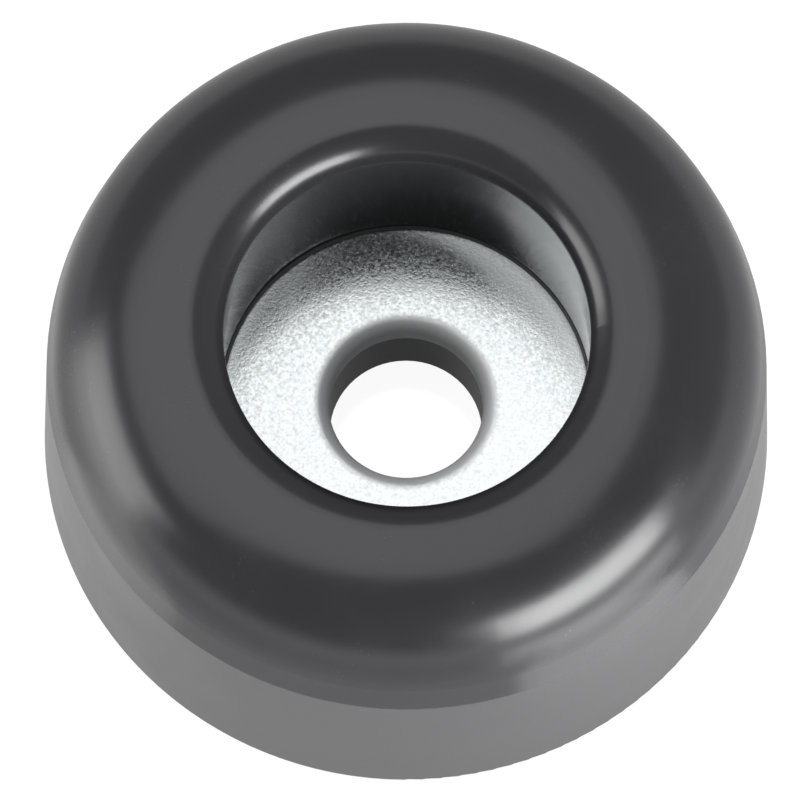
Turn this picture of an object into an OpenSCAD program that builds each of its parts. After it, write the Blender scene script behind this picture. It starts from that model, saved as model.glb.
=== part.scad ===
// Round rubber foot with a flat steel washer moulded in at the bottom of its well. Sizes in mm, base on z = 0, axis on +Z.

/* [Rubber body] */
// Diameter of the base that sits against the carried equipment
base_d = 38.0; // [35:0.5:46]
// Diameter at the parting line, where the base band meets the shoulder
crease_d = 36.6; // [35:0.1:45]
// Height of the base band up to the parting line
band_h = 11.2; // [8:0.1:11.8]
// Overall height
height = 17.5; // [17:0.1:22]
// Radius of the round between the shoulder and the contact face
shoulder_r = 6.0; // [4:0.1:6.5]
// Draft of the shoulder above the parting line, degrees from the axis
shoulder_draft = 14; // [6:1:20]
// Small radius on the lower edge of the base
base_edge_r = 0.4; // [0.2:0.1:1]

/* [Well] */
// Diameter of the mouth at the narrowest part of the lip
mouth_d = 18.4; // [16:0.1:18.8]
// Radius that rolls from the contact face down into the well
lip_r = 1.8; // [1:0.05:2.6]
// Straight land at the mouth, below the lip radius
lip_land = 0.2; // [0.1:0.1:2]
// Diameter of the well at its bottom, a little wider than the mouth
well_d = 19.3; // [18.9:0.1:19.8]
// Width of the small slope of rubber where the wall meets the washer
seal_w = 0.15; // [0.1:0.05:0.4]
// Thickness of the rubber web under the washer
web_t = 3.6; // [2:0.1:5]

/* [Steel washer] */
// Outside diameter of the washer, whose edge is held in the rubber all round
washer_d = 21.6; // [20.6:0.1:24]
// Thickness of the washer
washer_t = 1.5; // [0.8:0.1:2]

/* [Screw hole] */
// Diameter of the hole through the steel and the rubber
hole_d = 8.0; // [4:0.1:10]
// Radius that punching leaves on the upper edge of the hole
hole_edge_r = 0.6; // [0.2:0.05:0.7]

/* [Hidden] */
$fn = 180;
// Overrun of the cutting sections past the faces they open
over = 1;
// Straight flanks end this far inside the rounds that they run into
tuck = 0.0005;
base_r = base_d / 2;
crease_r = crease_d / 2;
mouth_r = mouth_d / 2;
well_r = well_d / 2;
washer_r = washer_d / 2;
hole_r = hole_d / 2;
floor_z = web_t + washer_t;

land_z = height - lip_r - lip_land;

// Centre of the shoulder round, its flank tangent to the drafted line through the parting line
shoulder_z = height - shoulder_r;
flank_z = shoulder_z + shoulder_r * sin(shoulder_draft);
flank_r = crease_r - (flank_z - band_h) * tan(shoulder_draft);
shoulder_c = flank_r - shoulder_r * cos(shoulder_draft);

// Fillet of the base edge, tangent to the floor line and to the flared band
flare = atan((base_r - crease_r) / band_h);
edge_run = base_edge_r / tan((90 - flare) / 2);

// Half section of the solid foot, before the well and the hole
module foot_outline() {
    polygon([
        [0, 0],
        [base_r - edge_run, 0],
        [base_r - edge_run, base_edge_r],
        [base_r - edge_run + (base_edge_r - tuck) * cos(flare), base_edge_r + (base_edge_r - tuck) * sin(flare)],
        [crease_r, band_h],
        [flank_r - tuck * cos(shoulder_draft), flank_z - tuck * sin(shoulder_draft)],
        [shoulder_c, shoulder_z],
        [shoulder_c, height],
        [0, height]
    ]);
    translate([base_r - edge_run, base_edge_r]) circle(base_edge_r);
    translate([shoulder_c, shoulder_z]) circle(shoulder_r);
}

// Half section of the well: the rolled lip, the land below it, the wall, which widens downwards, and the seal
module well_outline() {
    difference() {
        translate([0, height - lip_r]) square([mouth_r + lip_r, lip_r + over]);
        translate([mouth_r + lip_r, height - lip_r]) circle(lip_r);
    }
    polygon([
        [0, web_t],
        [well_r - seal_w, web_t],
        [well_r - seal_w, floor_z],
        [well_r, floor_z + seal_w],
        [mouth_r, land_z],
        [mouth_r, height - lip_r],
        [0, height - lip_r]
    ]);
}

// Half section of the washer before its hole is punched, and of its seat in the rubber
module washer_outline() {
    translate([0, web_t]) square([washer_r, washer_t]);
}

// Rolled upper edge of the punched hole
module rolled_edge() {
    difference() {
        translate([hole_r - over, floor_z - hole_edge_r]) square([hole_edge_r + over, hole_edge_r + over]);
        translate([hole_r + hole_edge_r, floor_z - hole_edge_r]) circle(hole_edge_r);
    }
}

module body() {
    color([0.11, 0.11, 0.12])
    rotate_extrude()
    difference() {
        foot_outline();
        well_outline();
        washer_outline();
        translate([0, -over]) square([hole_r, web_t + 2 * over]);
    }
}

module washer() {
    color([0.78, 0.80, 0.80])
    rotate_extrude()
    difference() {
        washer_outline();
        rolled_edge();
        translate([0, web_t - over]) square([hole_r, washer_t + 2 * over]);
    }
}

body();
washer();
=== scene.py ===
import math

import bmesh
import bpy
from mathutils import Matrix, Vector

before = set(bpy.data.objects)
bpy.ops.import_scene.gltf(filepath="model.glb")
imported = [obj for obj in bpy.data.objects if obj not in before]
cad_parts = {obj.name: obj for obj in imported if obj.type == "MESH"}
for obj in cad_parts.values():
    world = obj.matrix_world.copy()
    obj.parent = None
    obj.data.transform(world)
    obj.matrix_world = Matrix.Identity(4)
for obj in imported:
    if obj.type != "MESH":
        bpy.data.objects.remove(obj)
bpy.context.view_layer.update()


# Rubber body. One compression moulding in satin black rubber. The mould was blasted below the parting line, so the
# band is duller and greyer, and its core was polished, so the wall of the well is smooth and mirrors the steel.
# The colours, the finish and the slight curves of lip and wall were fitted to the photograph by value.
class Wire:
    """One output of a shader node. Sums, differences, products and powers of wires add Math nodes."""

    def __init__(self, socket):
        self.socket = socket

    def node(self, kind, settings, inputs, output=0):
        """A new node in this wire's tree: its type, its settings, and the values or wires of its sockets."""
        tree = self.socket.id_data
        made = tree.nodes.new(kind)
        for name, value in settings.items():
            setattr(made, name, value)
        for name, value in inputs.items():
            if isinstance(value, Wire):
                tree.links.new(value.socket, made.inputs[name])
            else:
                made.inputs[name].default_value = value
        return Wire(made.outputs[output])

    def sum_of(self, operation, first, second):
        return self.node("ShaderNodeMath", {"operation": operation}, {0: first, 1: second})

    def __add__(self, other):
        return self.sum_of("ADD", self, other)

    __radd__ = __add__

    def __sub__(self, other):
        return self.sum_of("SUBTRACT", self, other)

    def __rsub__(self, other):
        return self.sum_of("SUBTRACT", other, self)

    def __mul__(self, other):
        return self.sum_of("MULTIPLY", self, other)

    __rmul__ = __mul__

    def __pow__(self, other):
        return self.sum_of("POWER", self, other)

    def step(self, low, high):
        """0 below low, 1 above high, and a smooth rise between."""
        return self.node(
            "ShaderNodeMapRange",
            {"interpolation_type": "SMOOTHSTEP"},
            {"Value": self, "From Min": low, "From Max": high},
        )

    def grain(self, scale, detail=2.0, roughness=0.5):
        """Noise read at this wire's point, about 0.5 in the middle."""
        return self.node(
            "ShaderNodeTexNoise",
            {"noise_dimensions": "3D"},
            {"Vector": self, "Scale": scale, "Detail": detail, "Roughness": roughness},
        )

    def mix(self, first, second):
        """The first colour where this wire is 0, the second where it is 1."""
        return self.node("ShaderNodeMix", {"data_type": "RGBA"}, {0: self, 6: first, 7: second}, output=2)


def new_finish(name):
    """A material with one Principled shader, and the wire of its points in the row frame."""
    material = bpy.data.materials.new(name)
    material.use_nodes = True
    tree = material.node_tree
    shader = tree.nodes["Principled BSDF"]
    point = Wire(tree.nodes.new("ShaderNodeTexCoord").outputs["Object"])
    return material, shader, point


def feed(shader, socket, wire):
    shader.id_data.links.new(wire.socket, shader.inputs[socket])


parting_height = 0.0112
parting_blur = 0.00015
mouth_height = 0.0155
mouth_radius = 0.0092
well_radius = 0.0098
steel_height = 0.0050
lip_radius = 0.0018
lip_centre_height = 0.0157
lip_flattening = 0.00024
slack_from, slack_to = math.radians(28), math.radians(98)
wall_turn = 0.0120
wall_curve = 0.056
skin_relief = 0.0000016
rubber_black = (0.027, 0.027, 0.030, 1)
rubber_grey = (0.062, 0.062, 0.065, 1)
seal_painted_reflection = (0.38, 0.385, 0.385, 1)

rubber, rubber_shader, at = new_finish("satin_rubber")
across = at.node("ShaderNodeSeparateXYZ", {}, {0: at}, output=0)
along = at.node("ShaderNodeSeparateXYZ", {}, {0: at}, output=1)
height = at.node("ShaderNodeSeparateXYZ", {}, {0: at}, output=2)
reach = (across * across + along * along) ** 0.5
cloud = at.grain(260, 3.0, 0.55)
speckle = at.grain(5200, 2.0, 0.6)
band = 1 - height.step(parting_height - parting_blur, parting_height + parting_blur)
well_wall = reach.step(0.0088, 0.0090) * (1 - reach.step(well_radius, well_radius + 0.0002))
well_wall = well_wall * height.step(steel_height - 0.0004, steel_height)
in_well = well_wall * (1 - height.step(mouth_height, mouth_height + 0.0004))
seal = well_wall * (1 - height.step(steel_height + 0.0002, steel_height + 0.0003))
tone = band * (1 - in_well) * 0.9 + (cloud - 0.5) * 0.3 + (speckle - 0.5) * 0.12 + 0.02
# Painted reflection: the rubber low in the well, where it meets the steel, has a light grey colour. It stands in
# for the steel mirrored in the wall, and is stronger on the left than on the right.
seal_reflection_mask = seal * (1 - across.step(-0.006, 0.001) * 0.45)
feed(rubber_shader, "Base Color", seal_reflection_mask.mix(tone.mix(rubber_black, rubber_grey), seal_painted_reflection))
blasted = 0.25 + band * 0.08 + (cloud - 0.5) * 0.10 + (speckle - 0.5) * 0.06
feed(rubber_shader, "Roughness", blasted * (1 - in_well) + in_well * 0.15)

# The lip's curve is slack at the top and tighter at the mouth, which the shading carries as a low swelling. Low
# on the wall a slight bulge, uneven round the axis, was fitted to the reflections in the photograph. It is a
# shading effect alone, and the real cause of those reflections isn't known.
lip_turn = at.node(
    "ShaderNodeMath",
    {"operation": "ARCTAN2"},
    {0: mouth_radius + lip_radius - reach, 1: height - lip_centre_height},
)
swelling = lip_turn.step(slack_from, slack_to) * lip_flattening
depth_down = height.node("ShaderNodeMath", {"operation": "MAXIMUM"}, {0: wall_turn - height, 1: 0.0})
out_of_true = across.step(-0.005, 0.005) + (1 - across.step(-0.0085, -0.0060)) * 0.45
belly = depth_down * depth_down * (0.5 / wall_curve) * in_well * out_of_true
skin = (speckle + cloud * 6.0) * (1 - in_well * 0.8) * skin_relief
dimple = at.node(
    "ShaderNodeBump", {}, {"Height": skin + swelling + belly, "Strength": 1.0, "Distance": 1.0}
)
feed(rubber_shader, "Normal", dimple)
rubber_shader.inputs["IOR"].default_value = 1.5

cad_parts["body"].data.materials.clear()
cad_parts["body"].data.materials.append(rubber)


# Steel washer. Blanked from sheet and barrel zinc plated, so it is very slightly dished and finely grained, and its
# sheared hole edge is a dull white. It was laid in the mould, so its outer edge is held in the rubber all round.
dish_radius = 0.135
nip_radius = 0.00938
nip_curve = 0.0013
hole_edge_radius = 0.0046
grain_relief = 0.0000042
zinc_bright = (0.582, 0.610, 0.616, 1)
zinc_dull = (0.42, 0.450, 0.458, 1)
zinc_sheared = (0.80, 0.82, 0.82, 1)

zinc, zinc_shader, at = new_finish("zinc_plated_steel")
across = at.node("ShaderNodeSeparateXYZ", {}, {0: at}, output=0)
along = at.node("ShaderNodeSeparateXYZ", {}, {0: at}, output=1)
reach = (across * across + along * along) ** 0.5
dish = reach * reach * (0.5 / dish_radius)
fall = reach.node("ShaderNodeMath", {"operation": "MAXIMUM"}, {0: reach - nip_radius, 1: 0.0})
nip = fall * fall * (0.5 / nip_curve)
punched = 1 - reach.step(hole_edge_radius - 0.00035, hole_edge_radius + 0.00040)
pebble = at.grain(6200, 1.0, 0.5)
frost = at.grain(9000, 2.0, 0.6)
zinc_tone = (pebble - 0.5) * 0.5 + (frost - 0.5) * 0.4 + 0.15
plating = zinc_tone.mix(zinc_bright, zinc_dull)
feed(zinc_shader, "Base Color", punched.mix(plating, zinc_sheared))
feed(zinc_shader, "Roughness", 0.20 + (pebble - 0.5) * 0.38 * (1 - punched) + punched * 0.40)
grain = (pebble + frost * 0.8) * (1 - punched) * grain_relief
relief = at.node("ShaderNodeBump", {}, {"Height": dish - nip + grain, "Strength": 1.0, "Distance": 1.0})
feed(zinc_shader, "Normal", relief)
feed(zinc_shader, "Metallic", 1 - punched * 0.75)

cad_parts["washer"].data.materials.clear()
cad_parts["washer"].data.materials.append(zinc)


# Table. A wide sheet of white acrylic, which shows as plain white behind the object, keeps a soft shadow and
# mirrors the softboxes faintly. It isn't part of the object.
table_reach = 3.0
table_drop = 0.00002
table_white = (0.8, 0.8, 0.8, 1)
shown_white = (1, 1, 1, 1)
mirrored_white = (0.80, 0.80, 0.80, 1)
painted_shade_far_side = (0.60, 0.60, 0.60, 1)
painted_shadow_under_foot = (0.20, 0.20, 0.20, 1)
shown_strength = 0.93
shown_shade = (0.09, 0.09, 0.09, 1)

sheet = bmesh.new()
bmesh.ops.create_grid(sheet, x_segments=1, y_segments=1, size=table_reach)
bmesh.ops.translate(sheet, verts=sheet.verts, vec=(0, 0, -table_drop))
table_mesh = bpy.data.meshes.new("table")
sheet.to_mesh(table_mesh)
sheet.free()
table = bpy.data.objects.new("table", table_mesh)
bpy.context.scene.collection.objects.link(table)

acrylic, acrylic_shader, at = new_finish("white_acrylic")
for socket, value in {"Base Color": table_white, "Roughness": 0.12, "IOR": 1.49}.items():
    acrylic_shader.inputs[socket].default_value = value
shown = acrylic.node_tree.nodes.new("ShaderNodeBsdfPrincipled")
for socket, value in {
    "Base Color": shown_shade, "Roughness": 0.12, "IOR": 1.49,
    "Emission Strength": shown_strength,
}.items():
    shown.inputs[socket].default_value = value
camera_ray = at.node("ShaderNodeLightPath", {}, {}, output="Is Camera Ray")
glossy_ray = at.node("ShaderNodeLightPath", {}, {}, output="Is Glossy Ray")
through_ray = at.node("ShaderNodeLightPath", {}, {}, output="Is Transmission Ray")
seen = camera_ray + glossy_ray + through_ray
across = at.node("ShaderNodeSeparateXYZ", {}, {0: at}, output=0)
along = at.node("ShaderNodeSeparateXYZ", {}, {0: at}, output=1)
# Painted shadow and shade: in what the table shows to reflections, its colour is dark under the foot and greyer on
# the far side. This stands in for the foot's shadow and the dimmer light behind it.
far_shade_mask = along.step(-0.005, 0.020)
lit = ((across * across + along * along) ** 0.5).step(0.0175, 0.0190)
mirrored = lit.mix(painted_shadow_under_foot, far_shade_mask.mix(mirrored_white, painted_shade_far_side))
feed(shown, "Emission Color", camera_ray.mix(mirrored, shown_white))
looks = at.node(
    "ShaderNodeMixShader", {}, {0: seen, 1: Wire(acrylic_shader.outputs[0]), 2: Wire(shown.outputs[0])}
)
acrylic.node_tree.links.new(looks.socket, acrylic.node_tree.nodes["Material Output"].inputs["Surface"])
table_mesh.materials.append(acrylic)


# Studio light. A large softbox overhead and a little behind, a strong low one at the right front, a weak one at the
# left and two white cards on the table, in a dim room that is white near the table. None is part of the object.
def softbox(name, azimuth, elevation, distance, width, tall, radiance):
    """A rectangular lamp that faces the object, with the azimuth counted from +X towards +Y."""
    lamp = bpy.data.lights.new(name, "AREA")
    lamp.shape = "RECTANGLE"
    lamp.size, lamp.size_y = width, tall
    lamp.energy = radiance * math.pi * width * tall
    box = bpy.data.objects.new(name, lamp)
    a, e = math.radians(azimuth), math.radians(elevation)
    away = Vector((math.cos(a) * math.cos(e), math.sin(a) * math.cos(e), math.sin(e)))
    box.location = away * distance
    box.rotation_euler = away.to_track_quat("Z", "Y").to_euler()
    box.visible_camera = False
    bpy.context.scene.collection.objects.link(box)
    return box


def white_card(name, azimuth, radiance):
    """A bright card that lies on the table beside the foot, face up."""
    card = softbox(name, azimuth, 0, card_distance, card_width, card_length, radiance)
    card.location.z = card_height
    card.rotation_euler = (math.pi, 0, math.radians(azimuth - 90))


light_distance = 1.2
card_distance, card_height = 0.050, 0.0006
card_width, card_length = 0.018, 0.050

softbox("softbox_right", 315, 19, light_distance, 0.94, 0.50, 15.0)
softbox("softbox_left", 182, 16, light_distance, 0.80, 0.62, 5.2)
white_card("card_right", 310, 1.5)
white_card("card_left", 205, 0.6)

overhead = softbox("softbox_overhead", 0, 90, light_distance, 1.44, 1.128, 1.5)
overhead.location = (-0.408, 0.312, light_distance)
overhead.rotation_euler = (0, 0, math.radians(10))

room = bpy.data.worlds.new("studio_room")
room.use_nodes = True
bpy.context.scene.world = room
background = room.node_tree.nodes["Background"]
direction = Wire(room.node_tree.nodes.new("ShaderNodeTexCoord").outputs["Generated"])
rise = direction.node("ShaderNodeSeparateXYZ", {}, {0: direction}, output=2)
depth = direction.node("ShaderNodeSeparateXYZ", {}, {0: direction}, output=1)
horizon = depth.step(-0.5, 0.5).mix((1, 1, 1, 1), (0.28, 0.28, 0.28, 1))
wall_tone = depth.step(-0.3, 0.6).mix((0.06, 0.06, 0.06, 1), (0.33, 0.33, 0.34, 1))
room_tone = rise.step(0.06, 0.22).mix(horizon, wall_tone)
feed(background, "Color", room_tone)


# Camera. A long lens that looks down into the well, placed where the photograph was taken from.
camera_elevation = math.radians(71.200)
camera_distance = 0.31052
camera_aim = Vector((-0.0003246, 0, 0.0053129))
camera_roll = math.radians(0.356)

camera_data = bpy.data.cameras.new("camera")
camera_data.lens = 270
camera_data.sensor_width = 36
camera_data.clip_start = 0.01
camera = bpy.data.objects.new("camera", camera_data)
back = Vector((0, -math.cos(camera_elevation), math.sin(camera_elevation)))
right = Vector((1, 0, 0))
up = right.cross(-back)
rolled_right = right * math.cos(camera_roll) + up * math.sin(camera_roll)
rolled_up = up * math.cos(camera_roll) - right * math.sin(camera_roll)
camera.matrix_world = Matrix.Translation(camera_aim + back * camera_distance) @ Matrix(
    (rolled_right, rolled_up, back)
).transposed().to_4x4()
bpy.context.scene.collection.objects.link(camera)
bpy.context.scene.camera = camera
bpy.context.scene.view_settings.view_transform = "Standard"
